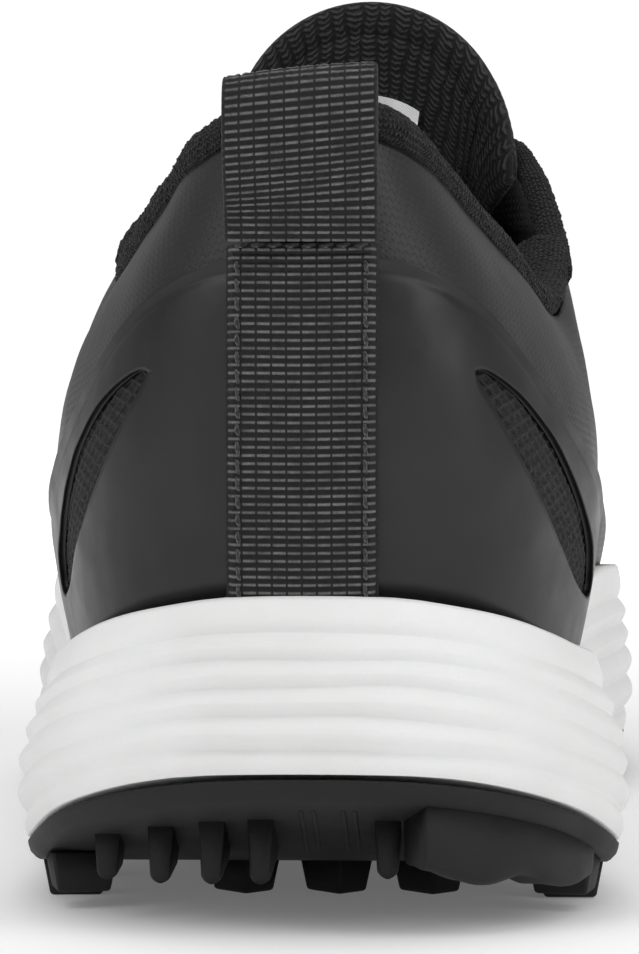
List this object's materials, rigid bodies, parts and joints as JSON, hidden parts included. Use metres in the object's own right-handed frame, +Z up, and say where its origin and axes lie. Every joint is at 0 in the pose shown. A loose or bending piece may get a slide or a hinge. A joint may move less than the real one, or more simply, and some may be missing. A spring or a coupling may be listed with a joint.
{
  "type": "golf shoe",
  "caption": "Low laced golf shoe for the left foot: black synthetic upper, padded knit collar and tongue, heel pull loop, ribbed white midsole and lugged rubber outsole.",
  "frame": {"origin": "middle of the bounding box in X and Y, on the ground under the lugs", "axes": "+X to the medial side, +Y to the toe, +Z up; left shoe"},
  "size_m": [0.108, 0.3058, 0.1362],
  "materials": {
    "synthetic": "black synthetic leather, soft satin, faint dimples",
    "overlay": "smooth black bonded film, satin",
    "mesh": "dark open mesh with small diamonds",
    "knit": "coarse black knit",
    "webbing": "woven black webbing with grey flecks",
    "lace": "braided black lace",
    "midsole_foam": "moulded white foam, matt",
    "outsole_rubber": "moulded black rubber, matt",
    "soft_foam": "open-cell foam",
    "board": "stiff fibre board",
    "white_cloth": "blank white woven label"
  },
  "bodies": {
    "shoe": {"outsole": "outsole_rubber", "midsole": "midsole_foam", "strobel_board": "board", "quarter_medial": "synthetic", "quarter_lateral": "synthetic", "vamp": "synthetic", "window_mesh_medial": "mesh", "window_mesh_lateral": "mesh", "heel_cap": "overlay", "toe_cap": "overlay", "eyestay_medial": "overlay", "eyestay_lateral": "overlay", "heel_counter": "board", "toe_puff": "board", "heel_lining": "knit", "vamp_lining": "knit", "collar_knit": "knit", "collar_foam": "soft_foam", "heel_webbing": "webbing", "lace": "lace"},
    "tongue": {"tongue_cover": "synthetic", "tongue_foam": "soft_foam", "tongue_lining": "knit", "size_label": "white_cloth"},
    "insole": {"insole_foam": "soft_foam", "insole_cloth": "knit"},
    "pull_loop": {"pull_loop": "webbing"}
  },
  "joints": [
    {"name": "tongue_swing", "type": "hinge", "parent": "shoe", "child": "tongue", "pos_m": [0.00577, 0.03945, 0.062], "axis": [1, 0, 0], "range_deg": [0, 3], "stiffness_Nm_per_rad": 0.6, "springref_deg": -8.59},
    {"name": "insole_lift", "type": "hinge", "parent": "shoe", "child": "insole", "pos_m": [0.00977, 0.13545, 0.031], "axis": [-1, 0, 0], "range_deg": [0, 4]},
    {"name": "pull_loop_bend", "type": "hinge", "parent": "shoe", "child": "pull_loop", "pos_m": [0.00057, -0.1459, 0.0978], "axis": [1, 0, 0], "range_deg": [0, 50], "stiffness_Nm_per_rad": 0.01}
  ]
}
